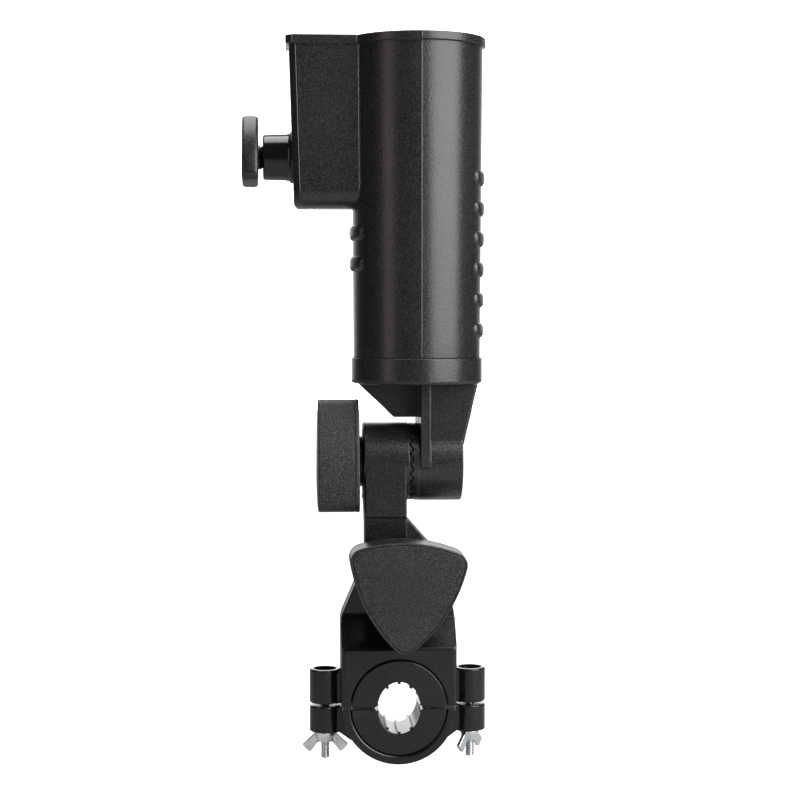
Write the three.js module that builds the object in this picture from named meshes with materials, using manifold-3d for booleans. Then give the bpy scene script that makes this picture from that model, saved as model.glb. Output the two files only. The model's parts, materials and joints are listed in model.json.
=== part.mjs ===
// Clamp-on rod holder: an open tube with a side pocket and thumb screw, carried by two
// toothed joints on a split bar clamp.
// Millimetres, +Z up. The origin is the centre of the clamp's bore, the bar runs along Y,
// and the triangular knob of the swivel joint faces -Y.

import * as THREE from 'three';
import { mergeVertices } from 'three/addons/utils/BufferGeometryUtils.js';
import Module from 'manifold-3d';

const wasm = await Module();
wasm.setup();

// ---------- driving dimensions ----------

const GAP = 0.3; // clearance kept between touching pieces

// Tube and its side pocket
const TUBE_X = 8.4;
const TUBE_TOP = 291.5;
const TUBE_RADIUS_TOP = 28.8;
const TUBE_RADIUS_BOTTOM = 27.9;
const TUBE_BORE_TOP = 26.1;
const TUBE_BORE_BOTTOM = 25.2;
const RIM_HEIGHT = 3.8;
const RIM_PROUD = 1.5;
const POCKET_LEFT_TOP = -47.6;
const POCKET_LEFT_BOTTOM = -45.3;
const POCKET_HALF_DEPTH = 14;
const POCKET_BOTTOM = 217.6;
const POCKET_WALL = 2.7;
const POCKET_CORNER = 3;
const POCKET_UNDER = { side: 8, end: 2.6 }; // radii along the pocket's bottom edges
const GRIP_HEIGHT = 6.6;
const GRIP_PROUD = 1.45;
const GRIP_HALF_ANGLE = 32;
const GRIP_RIGHT = { first: 164.8, spacing: 13.22, count: 6 };
const GRIP_LEFT = { first: 193.8, spacing: 13.4, count: 2 };

// Cup, neck and drum under the tube
const CUP_BOTTOM = 141.6;
const CUP_TOP = 153;
const CUP_RADIUS = 28.8;
const CUP_SOCKET_RADIUS = 26.8;
const CUP_SEAT = 144.3;
const CUP_FLOOR = 145.3;
const NECK_HALF_DEPTH = 14.3;
const GUSSET_HALF_DEPTH = 5;
const SPINE_HALF_DEPTH = 17.9;

// Tilt joint: its axis runs along X
const TILT_Z = 107.2;
const DRUM_RADIUS = 17.2;
const ARM_LEFT = -15.2;
const ARM_RIGHT = 3;
const DRUM_LEFT = 9.1;
const DRUM_RIGHT = 27.6;
const TILT_TEETH_X = 4.55;

// Swivel joint: its axis runs along Y
const SWIVEL_X = 2.4;
const SWIVEL_Z = 55;
const DISC_FRONT = -14;
const DISC_BACK = -4.4;
const SWIVEL_TEETH_Y = -3.55;

// Face teeth, shared by both joints
const TOOTH_COUNT = 24;
const TOOTH_HEIGHT = 1.2;
const TOOTH_INNER = 8;
const TOOTH_OUTER = 16.9;

// Knobs, bolts, nuts and washers of the two joints
const KNOB = { mid: 20.1, tip: 28.1, corner: 5.8, depth: 18, wall: 2.8 };
const TILT_KNOB_X = -17.4;
const TILT_KNOB_TURN = -12;
const SWIVEL_KNOB_Y = -16.4;
const SWIVEL_KNOB_TURN = 177;
const WASHER_RADIUS = 11;
const WASHER_DEPTH = 1.6;
const M6_RADIUS = 3;
const M6_HOLE = 3.4;
const M6_FLATS = 10;
const M6_HEAD = 4;
const M6_NUT = 5;
const NUT_INSET = 3.3;
const HEAD_RECESS = 4.6;
const BOLT_IN_KNOB = 13;

// Thumb screw and its pad
const SCREW_Z = 240;
const SCREW_RADIUS = 5.25;
const SCREW_TIP = -11.8;
const SCREW_PLATE = { mid: 13, tip: 18, corner: 3.9, left: -67.7, right: -60.6 };
const BOSS_LEFT = -58.7;
const BOSS_RADIUS = 9.8;
const PAD = { left: -14, right: -8, halfDepth: 10.4, halfHeight: 10.5, recess: 2.5 };

// Bar clamp
const CLAMP_HALF_DEPTH = 13;
const CLAMP_HALF_WIDTH = 25.3;
const CLAMP_SPLIT = 0.6;
const SEAT_RADIUS = 21.1;
const JAW_RADIUS = 25;
const PLATE_RADIUS = 20.2;
const PLATE_FRONT = -1.5;
const REDUCER_RADIUS = 20.8;
const REDUCER_SPLIT = 0.4;
const BORE_X = 9.4;
const BORE_Z = 11.4;
const BORE_RIB = { height: 1, width: 1.8, angles: [-28, 0, 28] };
const EAR_X = 32.1;
const EAR_RADIUS = 6.8;
const EAR_TOP = 15.6;
const EAR_BOTTOM = -12.2;
const EAR_NECK_HALF = 4.8;
const EAR_RECESS = 9.2;
const M4_RADIUS = 2;
const M4_HOLE = 2.3;
const M4_FLATS = 7;
const M4_HEAD = 2.8;
const M4_END = -24.3;
const WING_THICKNESS = 1.7;
const RIGHT_WING_TURN = 60;

// ---------- outlines, as lists of [u, v] ----------

const radians = THREE.MathUtils.degToRad;

function arc(u, v, radius, from, to, steps) {
  const points = [];
  for (let i = 0; i <= steps; i += 1) {
    const angle = radians(from + ((to - from) * i) / steps);
    points.push([u + radius * Math.cos(angle), v + radius * Math.sin(angle)]);
  }
  return points;
}

function hexagon(flats) {
  return arc(0, 0, flats / Math.sqrt(3), 0, 300, 5);
}

// A polygon whose corners, given as [u, v, radius], are rounded.
function rounded(corners, steps = 3) {
  const points = [];
  corners.forEach(([u, v, radius = 0], i) => {
    if (radius === 0) {
      points.push([u, v]);
      return;
    }
    const corner = new THREE.Vector2(u, v);
    const before = new THREE.Vector2(...corners.at(i - 1)).sub(corner).normalize();
    const after = new THREE.Vector2(...corners[(i + 1) % corners.length]).sub(corner).normalize();
    const half = Math.acos(before.dot(after)) / 2;
    const middle = before.clone().add(after).normalize();
    const centre = corner.clone().addScaledVector(middle, radius / Math.sin(half));
    const start = corner.clone().addScaledVector(before, radius / Math.tan(half)).sub(centre);
    const turn = (Math.PI - 2 * half) * Math.sign(after.cross(before));
    for (let s = 0; s <= steps; s += 1) {
      const spoke = start.clone().rotateAround(new THREE.Vector2(), (turn * s) / steps);
      points.push([centre.x + spoke.x, centre.y + spoke.y]);
    }
  });
  return points;
}

function roundedBox(left, right, low, high, radius) {
  const corners = [[left, low], [right, low], [right, high], [left, high]];
  return rounded(corners.map(([u, v]) => [u, v, radius]));
}

// A triangle with bulging sides and round corners; one corner points up.
function trilobe({ mid, tip, corner }, inset = 0) {
  const reach = tip - corner;
  const side = mid - corner;
  const offset = (side * side - reach * reach) / (reach - 2 * side);
  const spread = THREE.MathUtils.radToDeg(
    Math.atan2(reach * Math.cos(radians(30)), offset + reach / 2),
  );
  const points = [];
  for (const turn of [0, 120, 240]) {
    const sideCentre = arc(0, 0, offset, turn + 90, turn + 90, 1)[0];
    const cornerCentre = arc(0, 0, reach, turn - 30, turn - 30, 1)[0];
    const middle = turn - 90;
    const bow = offset + mid - inset;
    points.push(...arc(...sideCentre, bow, middle - spread, middle + spread, 4).slice(1));
    const first = middle + spread;
    const last = middle + 120 - spread;
    points.push(...arc(...cornerCentre, corner - inset, first, last, 5).slice(1));
  }
  return points;
}

// ---------- solids ----------

// Outlines are drawn as (y, z), (x, z) or (x, y) and grow along X, Y or Z.
const PLACE = {
  X: (u, v, w) => [w, u, v],
  Y: (u, v, w) => [u, w, v],
  Z: (u, v, w) => [u, v, w],
};

function solid(positions, triangles) {
  const corner = (i) => new THREE.Vector3().fromArray(positions, 3 * i);
  let volume = 0;
  for (const [a, b, c] of triangles) {
    volume += corner(a).dot(corner(b).cross(corner(c)));
  }
  const outward = volume > 0 ? triangles : triangles.map(([a, b, c]) => [a, c, b]);
  const vertProperties = new Float32Array(positions);
  const triVerts = new Uint32Array(outward.flat());
  return new wasm.Manifold(new wasm.Mesh({ numProp: 3, vertProperties, triVerts }));
}

function solidOf(geometry, axis, centre = [0, 0]) {
  const bare = geometry.clone();
  bare.deleteAttribute('normal');
  bare.deleteAttribute('uv');
  const merged = mergeVertices(bare, 1e-4);
  const positions = [];
  for (let i = 0; i < merged.attributes.position.count; i += 1) {
    const [u, v, w] = new THREE.Vector3().fromBufferAttribute(merged.attributes.position, i);
    positions.push(...PLACE[axis](u + centre[0], v + centre[1], w));
  }
  const triangles = [];
  for (let i = 0; i < merged.index.count; i += 3) {
    const triangle = [0, 1, 2].map((k) => merged.index.getX(i + k));
    if (new Set(triangle).size === 3) {
      triangles.push(triangle);
    }
  }
  return solid(positions, triangles);
}

function prism(axis, outline, low, high) {
  const shape = new THREE.Shape(outline.map(([u, v]) => new THREE.Vector2(u, v)));
  const geometry = new THREE.ExtrudeGeometry(shape, { depth: high - low, bevelEnabled: false });
  geometry.translate(0, 0, low);
  return solidOf(geometry, axis);
}

// A profile of [radius, position] points turned about an axis through centre.
function turned(axis, profile, segments, centre = [0, 0]) {
  const points = profile.map(([radius, at]) => new THREE.Vector2(radius, at));
  const geometry = new THREE.LatheGeometry(points, segments);
  geometry.rotateX(Math.PI / 2);
  return solidOf(geometry, axis, centre);
}

function rod(axis, radius, low, high, segments, centre) {
  return turned(axis, [[0, low], [radius, low], [radius, high], [0, high]], segments, centre);
}

// Rings of equal point count, given as [position, outline], joined along an axis.
function loft(axis, rings) {
  const count = rings[0][1].length;
  const positions = [];
  for (const [at, outline] of rings) {
    for (const [u, v] of outline) {
      positions.push(...PLACE[axis](u, v, at));
    }
  }
  const triangles = [];
  for (let r = 0; r + 1 < rings.length; r += 1) {
    for (let i = 0; i < count; i += 1) {
      const a = r * count + i;
      const b = r * count + ((i + 1) % count);
      triangles.push([a, b, b + count], [a, b + count, a + count]);
    }
  }
  const contour = rings[0][1].map(([u, v]) => new THREE.Vector2(u, v));
  const last = (rings.length - 1) * count;
  for (const [a, b, c] of THREE.ShapeUtils.triangulateShape(contour, [])) {
    triangles.push([a, c, b], [last + a, last + b, last + c]);
  }
  return solid(positions, triangles);
}

// A ring of radial teeth. Each station is one corner of the zigzag.
function toothRing(axis, centre, flatAt, teethAt) {
  const stations = 2 * TOOTH_COUNT;
  const positions = [];
  const triangles = [];
  for (let i = 0; i < stations; i += 1) {
    const crest = teethAt + (i % 2) * TOOTH_HEIGHT;
    const spots = [[TOOTH_INNER, flatAt], [TOOTH_OUTER, flatAt], [TOOTH_OUTER, crest], [TOOTH_INNER, crest]];
    for (const [radius, at] of spots) {
      const [u, v] = arc(...centre, radius, (360 * i) / stations, 0, 1)[0];
      positions.push(...PLACE[axis](u, v, at));
    }
    for (let k = 0; k < 4; k += 1) {
      const a = 4 * i + k;
      const b = 4 * i + ((k + 1) % 4);
      const c = (4 * (i + 1) + k) % (4 * stations);
      const d = (4 * (i + 1) + ((k + 1) % 4)) % (4 * stations);
      triangles.push([a, b, d], [a, d, c]);
    }
  }
  return solid(positions, triangles);
}

// ---------- materials ----------

function plastic(colour, roughness) {
  return new THREE.MeshStandardMaterial({ color: colour, roughness, metalness: 0 });
}

const STEEL = { color: 0xc9cccf, roughness: 0.3, metalness: 1 };
const grainedBlack = () => plastic(0x1e1e1f, 0.7);
const satinBlack = () => plastic(0x18191b, 0.45);
const padBlack = () => plastic(0x141414, 0.9);
const zincSteel = () => new THREE.MeshStandardMaterial(STEEL);

// ---------- tube ----------

function gripRib(side, z) {
  const inner = TUBE_RADIUS_BOTTOM - 1.2;
  const outer = TUBE_RADIUS_BOTTOM + (TUBE_RADIUS_TOP - TUBE_RADIUS_BOTTOM) * 0.5;
  const middle = side > 0 ? 0 : 180;
  const half = GRIP_HEIGHT / 2;
  const ring = (at, proud) => {
    const front = arc(TUBE_X, 0, outer + proud, middle - GRIP_HALF_ANGLE, middle + GRIP_HALF_ANGLE, 8);
    const back = arc(TUBE_X, 0, inner, middle + GRIP_HALF_ANGLE, middle - GRIP_HALF_ANGLE, 8);
    return [at, [...front, ...back]];
  };
  return loft('Z', [
    ring(z - half, 0),
    ring(z - half / 2, GRIP_PROUD),
    ring(z + half / 2, GRIP_PROUD),
    ring(z + half, 0),
  ]);
}

// How far a rounded bottom edge has drawn in at a height above the bottom.
function underInset(height, radius) {
  const below = radius - Math.min(radius, Math.max(0, height));
  return radius - Math.sqrt(radius ** 2 - below ** 2);
}

// A level section of the pocket, moved in by a wall thickness.
function pocketRing(z, wall) {
  const share = (z - POCKET_BOTTOM) / (TUBE_TOP - POCKET_BOTTOM);
  const height = z - POCKET_BOTTOM - wall;
  const draft = POCKET_LEFT_BOTTOM + (POCKET_LEFT_TOP - POCKET_LEFT_BOTTOM) * share;
  const left = draft + wall + underInset(height, POCKET_UNDER.end - wall / 2);
  const depth = POCKET_HALF_DEPTH - wall - underInset(height, POCKET_UNDER.side - wall);
  return [z, roundedBox(left, TUBE_X, -depth, depth, POCKET_CORNER - wall / 2)];
}

function holderTube() {
  const centre = [TUBE_X, 0];
  const rimLow = TUBE_TOP - RIM_HEIGHT;
  const rimRadius = TUBE_RADIUS_TOP + RIM_PROUD;
  const spigot = CUP_SOCKET_RADIUS - GAP;
  const barrel = turned('Z', [
    [0, CUP_SEAT + GAP],
    [spigot, CUP_SEAT + GAP],
    [spigot, CUP_TOP + GAP],
    [TUBE_RADIUS_BOTTOM, CUP_TOP + GAP],
    [TUBE_RADIUS_TOP, rimLow],
    [rimRadius, rimLow],
    [rimRadius, TUBE_TOP],
    [0, TUBE_TOP],
  ], 48, centre);
  const pocketRings = (wall) => [0, 0.15, 0.6, 1.3, 2.6, 4.5, POCKET_UNDER.side].map(
    (rise) => pocketRing(POCKET_BOTTOM + wall + rise, wall),
  );
  const pocket = loft('Z', [...pocketRings(0), pocketRing(TUBE_TOP, 0)]);
  const rimLeft = POCKET_LEFT_TOP - RIM_PROUD;
  const rimDepth = POCKET_HALF_DEPTH + RIM_PROUD;
  const rim = prism('Z', roundedBox(rimLeft, TUBE_X, -rimDepth, rimDepth, POCKET_CORNER), rimLow, TUBE_TOP);
  const boss = turned('X', [
    [0, BOSS_LEFT],
    [BOSS_RADIUS - 0.8, BOSS_LEFT],
    [BOSS_RADIUS, BOSS_LEFT + 0.8],
    [BOSS_RADIUS + 0.4, POCKET_LEFT_BOTTOM + 1],
    [0, POCKET_LEFT_BOTTOM + 1],
  ], 28, [0, SCREW_Z]);
  let body = barrel.add(pocket).add(rim).add(boss);
  for (const [side, grip] of [[1, GRIP_RIGHT], [-1, GRIP_LEFT]]) {
    for (let i = 0; i < grip.count; i += 1) {
      body = body.add(gripRib(side, grip.first + i * grip.spacing));
    }
  }
  const bore = turned('Z', [
    [0, CUP_SEAT - 1],
    [TUBE_BORE_BOTTOM, CUP_SEAT - 1],
    [TUBE_BORE_TOP, TUBE_TOP + 1],
    [0, TUBE_TOP + 1],
  ], 48, centre);
  const cavity = loft('Z', [...pocketRings(POCKET_WALL), pocketRing(TUBE_TOP + 1, POCKET_WALL)]);
  const screwHole = rod('X', SCREW_RADIUS + GAP, BOSS_LEFT - 1, -40, 24, [0, SCREW_Z]);
  return body.subtract(bore).subtract(cavity).subtract(screwHole);
}

// ---------- cup, neck and drum under the tube ----------

function tubeBase() {
  const cup = turned('Z', [
    [0, CUP_BOTTOM],
    [CUP_RADIUS - 1.5, CUP_BOTTOM],
    [CUP_RADIUS, CUP_BOTTOM + 1.5],
    [CUP_RADIUS, CUP_TOP],
    [CUP_SOCKET_RADIUS, CUP_TOP],
    [CUP_SOCKET_RADIUS, CUP_SEAT],
    [TUBE_BORE_BOTTOM - GAP, CUP_SEAT],
    [TUBE_BORE_BOTTOM - GAP, CUP_FLOOR],
    [0, CUP_FLOOR],
  ], 48, [TUBE_X, 0]);
  const neckTop = CUP_BOTTOM + 0.5;
  const neck = prism('Y', [
    [DRUM_LEFT, neckTop],
    [DRUM_LEFT, TILT_Z],
    [DRUM_RIGHT, TILT_Z],
    [27.9, 115.4],
    [34.4, neckTop],
  ], -NECK_HALF_DEPTH, NECK_HALF_DEPTH);
  const gusset = prism('Y', [
    [-18.3, neckTop],
    [-1.9, 126.9],
    [DRUM_LEFT + 1, 126.9],
    [DRUM_LEFT + 1, neckTop],
  ], -GUSSET_HALF_DEPTH, GUSSET_HALF_DEPTH);
  const spine = prism('X', [
    [-SPINE_HALF_DEPTH, 105.4],
    [SPINE_HALF_DEPTH, 105.4],
    [SPINE_HALF_DEPTH + 0.4, neckTop],
    [-SPINE_HALF_DEPTH - 0.4, neckTop],
  ], DRUM_LEFT, 13.2);
  const drum = turned('X', [
    [0, DRUM_LEFT],
    [DRUM_RADIUS, DRUM_LEFT],
    [DRUM_RADIUS, DRUM_RIGHT - 0.8],
    [DRUM_RADIUS - 0.8, DRUM_RIGHT],
    [0, DRUM_RIGHT],
  ], 40, [0, TILT_Z]);
  const teeth = toothRing('X', [0, TILT_Z], DRUM_LEFT + 1, TILT_TEETH_X + GAP);
  const hole = rod('X', M6_HOLE, 0, DRUM_RIGHT + 1, 20, [0, TILT_Z]);
  const recessOutline = hexagon(M6_FLATS + 2 * GAP).map(([u, v]) => [u, v + TILT_Z]);
  const recess = prism('X', recessOutline, DRUM_RIGHT - HEAD_RECESS, DRUM_RIGHT + 1);
  return cup.add(neck).add(gusset).add(spine).add(drum).add(teeth)
    .subtract(hole).subtract(recess);
}

// ---------- arm between the two joints ----------

function arm() {
  const drum = turned('X', [
    [0, ARM_LEFT],
    [DRUM_RADIUS - 0.6, ARM_LEFT],
    [DRUM_RADIUS, ARM_LEFT + 0.6],
    [DRUM_RADIUS, ARM_RIGHT],
    [0, ARM_RIGHT],
  ], 40, [0, TILT_Z]);
  const shank = prism('X', [
    [-DRUM_RADIUS, TILT_Z],
    [-DRUM_RADIUS, 84.4],
    [-16.3, 83.7],
    [DISC_FRONT, 72],
    [DISC_BACK, 72],
    [DISC_BACK, 80.8],
    [12, 96.3],
    [DRUM_RADIUS, TILT_Z],
  ], ARM_LEFT, ARM_RIGHT);
  const web = prism('Y', rounded([
    [ARM_LEFT, SWIVEL_Z],
    [SWIVEL_X + DRUM_RADIUS, SWIVEL_Z],
    [SWIVEL_X + DRUM_RADIUS, 60.5, 4],
    [14.2, 71.4, 3],
    [ARM_RIGHT, 84.2],
    [ARM_LEFT, 84.2],
  ]), DISC_FRONT, DISC_BACK);
  const disc = rod('Y', DRUM_RADIUS, DISC_FRONT, DISC_BACK, 40, [SWIVEL_X, SWIVEL_Z]);
  const tiltTeeth = toothRing('X', [0, TILT_Z], ARM_RIGHT - 1, TILT_TEETH_X);
  const swivelTeeth = toothRing('Y', [SWIVEL_X, SWIVEL_Z], DISC_BACK - 1, SWIVEL_TEETH_Y);
  const tiltHole = rod('X', M6_HOLE, ARM_LEFT - 1, ARM_RIGHT + 4, 20, [0, TILT_Z]);
  const swivelHole = rod('Y', M6_HOLE, DISC_FRONT - 1, DISC_BACK + 4, 20, [SWIVEL_X, SWIVEL_Z]);
  return drum.add(shank).add(web).add(disc).add(tiltTeeth).add(swivelTeeth)
    .subtract(tiltHole).subtract(swivelHole);
}

// ---------- knobs, drawn with the back at 0 and the crown along +Z ----------

function knob() {
  const outer = loft('Z', [
    [0, trilobe(KNOB, 0)],
    [KNOB.depth - 0.9, trilobe(KNOB, 0.1)],
    [KNOB.depth - 0.3, trilobe(KNOB, 0.3)],
    [KNOB.depth, trilobe(KNOB, 0.9)],
  ]);
  const inside = KNOB.depth - KNOB.wall;
  const hollow = prism('Z', trilobe(KNOB, KNOB.wall), -1, inside);
  const hub = rod('Z', 8.6, 0, inside + 0.5, 24);
  let body = outer.subtract(hollow).add(hub);
  for (const angle of [90, 210, 330]) {
    const [cos, sin] = arc(0, 0, 1, angle, angle, 1)[0];
    const corners = [[7, -1], [KNOB.tip - 2, -1], [KNOB.tip - 2, 1], [7, 1]];
    const turn = ([along, across]) => [along * cos - across * sin, along * sin + across * cos];
    const outline = corners.map(turn);
    body = body.add(prism('Z', outline, 4, inside + 0.5));
  }
  const boltHole = rod('Z', M6_HOLE, -1, inside - 1, 20);
  const nutLow = NUT_INSET - GAP;
  const nutHouse = prism('Z', hexagon(M6_FLATS + 2 * GAP), nutLow, NUT_INSET + M6_NUT + GAP);
  return body.subtract(boltHole).subtract(nutHouse);
}

function m6Nut() {
  return prism('Z', hexagon(M6_FLATS), 0, M6_NUT).subtract(rod('Z', M6_HOLE, -1, M6_NUT + 1, 20));
}

function washer() {
  return rod('Z', WASHER_RADIUS, 0, WASHER_DEPTH, 32)
    .subtract(rod('Z', M6_HOLE, -1, WASHER_DEPTH + 1, 20));
}

// A hex bolt with its head below 0 and its shank along +Z.
function hexBolt(flats, head, radius, length) {
  return prism('Z', hexagon(flats), -head, 0).add(turned('Z', [
    [0, -0.5],
    [radius, -0.5],
    [radius, length - 0.6],
    [radius - 0.6, length],
    [0, length],
  ], 16));
}

// ---------- thumb screw and pad ----------

function thumbScrew() {
  const raise = (outline) => outline.map(([u, v]) => [u, v + SCREW_Z]);
  const { left, right } = SCREW_PLATE;
  const plate = loft('X', [
    [left, raise(trilobe(SCREW_PLATE, 1))],
    [left + 1, raise(trilobe(SCREW_PLATE, 0.15))],
    [right - 1, raise(trilobe(SCREW_PLATE, 0.15))],
    [right, raise(trilobe(SCREW_PLATE, 1))],
  ]);
  return plate.add(rod('X', SCREW_RADIUS, right - 1, SCREW_TIP, 24, [0, SCREW_Z]));
}

function clampPad() {
  const { left, right, halfDepth, halfHeight, recess } = PAD;
  const block = prism('Z', [
    [left, -halfDepth],
    [right, -halfDepth],
    [right - 2, 0],
    [right, halfDepth],
    [left, halfDepth],
  ], SCREW_Z - halfHeight, SCREW_Z + halfHeight);
  return block.subtract(rod('X', SCREW_RADIUS + GAP, left - 1, left + recess, 24, [0, SCREW_Z]));
}

// ---------- bar clamp ----------

function ears(low, high) {
  const build = (side) => {
    const post = turned('Z', [
      [0, low],
      [EAR_RADIUS - 0.6, low],
      [EAR_RADIUS, low + 0.6],
      [EAR_RADIUS, high - 0.6],
      [EAR_RADIUS - 0.6, high],
      [0, high],
    ], 24, [side * EAR_X, 0]);
    const inner = side * (SEAT_RADIUS + 1);
    const [a, b] = [Math.min(inner, side * EAR_X), Math.max(inner, side * EAR_X)];
    const neck = [[a, -EAR_NECK_HALF], [b, -EAR_NECK_HALF], [b, EAR_NECK_HALF], [a, EAR_NECK_HALF]];
    return post.add(prism('Z', neck, low + 0.2, high - 1));
  };
  return build(-1).add(build(1));
}

function earHoles() {
  return [-1, 1].map((side) => rod('Z', M4_HOLE, EAR_BOTTOM - 1, EAR_TOP + 1, 16, [side * EAR_X, 0]));
}

function barSeat() {
  return rod('Y', SEAT_RADIUS, -CLAMP_HALF_DEPTH - 1, CLAMP_HALF_DEPTH + 1, 48);
}

function clampBody() {
  const width = CLAMP_HALF_WIDTH;
  const depth = CLAMP_HALF_DEPTH;
  const block = prism('X', [
    [-depth, CLAMP_SPLIT],
    [depth, CLAMP_SPLIT],
    [depth, 38.6],
    [PLATE_FRONT, 38.6],
    [-depth, 26],
  ], -width, width);
  const plate = prism('Y', rounded([
    [-width, 20],
    [width, 20],
    [width, 38, 12],
    [SWIVEL_X + PLATE_RADIUS - 0.2, SWIVEL_Z + 1],
    [SWIVEL_X - PLATE_RADIUS + 0.2, SWIVEL_Z + 1],
    [-width, 38, 12],
  ]), PLATE_FRONT, depth);
  const crown = rod('Y', PLATE_RADIUS, PLATE_FRONT, depth, 48, [SWIVEL_X, SWIVEL_Z]);
  const teeth = toothRing('Y', [SWIVEL_X, SWIVEL_Z], PLATE_FRONT + 1, SWIVEL_TEETH_Y + GAP);
  const hole = rod('Y', M6_HOLE, -5, depth + 1, 20, [SWIVEL_X, SWIVEL_Z]);
  const recessOutline = hexagon(M6_FLATS + 2 * GAP).map(([u, v]) => [u + SWIVEL_X, v + SWIVEL_Z]);
  const recess = prism('Y', recessOutline, depth - HEAD_RECESS, depth + 1);
  let body = block.add(plate).add(crown).add(teeth).add(ears(CLAMP_SPLIT, EAR_TOP));
  body = body.subtract(barSeat()).subtract(hole).subtract(recess);
  for (const boltHole of earHoles()) {
    body = body.subtract(boltHole);
  }
  for (const side of [-1, 1]) {
    const outline = hexagon(M4_FLATS + 2 * GAP).map(([u, v]) => [u + side * EAR_X, v]);
    body = body.subtract(prism('Z', outline, EAR_RECESS, EAR_TOP + 1));
  }
  return body;
}

function clampJaw() {
  const depth = CLAMP_HALF_DEPTH;
  const split = Math.asin(CLAMP_SPLIT / JAW_RADIUS) * THREE.MathUtils.RAD2DEG;
  const half = prism('Y', arc(0, 0, JAW_RADIUS, 180 + split, 360 - split, 28), -depth, depth);
  const flares = [-1, 1].map((side) => prism('Y', [
    [side * 18, -CLAMP_SPLIT],
    [side * 27.2, -CLAMP_SPLIT],
    [side * 27.2, -11.2],
    [side * 21.2, -15.6],
    [side * 18, -17],
  ], -EAR_NECK_HALF, EAR_NECK_HALF));
  let jaw = half.add(flares[0]).add(flares[1]).add(ears(EAR_BOTTOM, -CLAMP_SPLIT));
  jaw = jaw.subtract(barSeat());
  for (const boltHole of earHoles()) {
    jaw = jaw.subtract(boltHole);
  }
  return jaw;
}

// One half of the bar reducer. side is 1 for the upper half and -1 for the lower.
function reducer(side) {
  const depth = CLAMP_HALF_DEPTH;
  const split = Math.asin(REDUCER_SPLIT / REDUCER_RADIUS) * THREE.MathUtils.RAD2DEG;
  const outline = arc(0, 0, REDUCER_RADIUS, split, 180 - split, 24).map(([u, v]) => [u, side * v]);
  const opening = arc(0, 0, 1, 0, 351, 39).map(([u, v]) => [BORE_X * u, BORE_Z * v]);
  let half = prism('Y', outline, -depth, depth).subtract(prism('Y', opening, -depth - 1, depth + 1));
  const { height, width, angles } = BORE_RIB;
  for (const angle of angles) {
    const [u, v] = arc(0, 0, 1, 90 + angle, 0, 1)[0];
    const reach = 1 / Math.hypot(u / BORE_X, v / BORE_Z);
    const corners = [[reach + 2, 1], [reach + 2, -1], [reach - height, -1], [reach - height, 1]];
    const bar = corners.map(([r, s]) => {
      const across = (s * width) / 2;
      return [r * u - across * v, side * (r * v + across * u)];
    });
    half = half.add(prism('Y', bar, -depth, depth));
  }
  return half;
}

// A wing nut with its seat at 0 and its wings swept down along -Z.
function wingNut() {
  const hub = turned('Z', [
    [0, 0],
    [4.4, 0],
    [3.7, -4.4],
    [0, -4.4],
  ], 20);
  let nut = hub;
  for (const side of [-1, 1]) {
    const wing = rounded([
      [2.6, -0.5],
      [4.6, -0.7, 1],
      [10.1, -5.9, 0.9],
      [6.8, -9.2, 0.9],
      [3.6, -5, 1],
      [2.6, -4.2],
    ]).map(([u, v]) => [side * u, v]);
    nut = nut.add(prism('Y', wing, -WING_THICKNESS / 2, WING_THICKNESS / 2));
  }
  return nut.subtract(rod('Z', M4_HOLE, -6, 1, 16));
}

// ---------- assembly ----------

const rodHolder = new THREE.Group();

function addPart(parent, name, body, material, place = () => {}) {
  const { vertProperties, triVerts } = body.getMesh();
  const geometry = new THREE.BufferGeometry();
  geometry.setAttribute('position', new THREE.BufferAttribute(vertProperties, 3));
  geometry.setIndex(new THREE.BufferAttribute(triVerts, 1));
  geometry.computeVertexNormals();
  const mesh = new THREE.Mesh(geometry, material);
  mesh.name = name;
  place(mesh);
  parent.add(mesh);
}

function addGroup(position, rotation) {
  const group = new THREE.Group();
  group.position.set(...position);
  group.rotation.set(...rotation);
  rodHolder.add(group);
  return group;
}

addPart(rodHolder, 'holder_tube', holderTube(), grainedBlack());
addPart(rodHolder, 'tube_base', tubeBase(), grainedBlack());
addPart(rodHolder, 'thumb_screw', thumbScrew(), grainedBlack());
addPart(rodHolder, 'rod_clamp_pad', clampPad(), padBlack());
addPart(rodHolder, 'arm', arm(), grainedBlack());

// Each joint's group has +Z along its bolt, from the bolt's head towards the knob.
function addJointHardware(name, group, seats) {
  const boltLength = seats.knob - seats.head + BOLT_IN_KNOB;
  addPart(group, `${name}_bolt`, hexBolt(M6_FLATS, M6_HEAD, M6_RADIUS, boltLength),
    zincSteel(), (mesh) => mesh.position.setZ(seats.head));
  addPart(group, `${name}_washer`, washer(), satinBlack(),
    (mesh) => mesh.position.setZ(seats.knob - GAP - WASHER_DEPTH));
  addPart(group, `${name}_knob`, knob(), grainedBlack(), (mesh) => {
    mesh.position.setZ(seats.knob);
    mesh.rotation.z = radians(seats.turn);
  });
  addPart(group, `${name}_nut`, m6Nut(), zincSteel(), (mesh) => {
    mesh.position.setZ(seats.knob + NUT_INSET);
    mesh.rotation.z = radians(seats.turn);
  });
}

// Along -X, with the group's +Y pointing up
addJointHardware('tilt', addGroup([0, 0, TILT_Z], [Math.PI / 2, -Math.PI / 2, 0]), {
  head: -(DRUM_RIGHT - HEAD_RECESS + GAP),
  knob: -TILT_KNOB_X,
  turn: TILT_KNOB_TURN,
});

// Along -Y, with the group's +Y pointing up
addJointHardware('swivel', addGroup([SWIVEL_X, 0, SWIVEL_Z], [Math.PI / 2, 0, 0]), {
  head: -(CLAMP_HALF_DEPTH - HEAD_RECESS + GAP),
  knob: -SWIVEL_KNOB_Y,
  turn: SWIVEL_KNOB_TURN,
});

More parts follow.
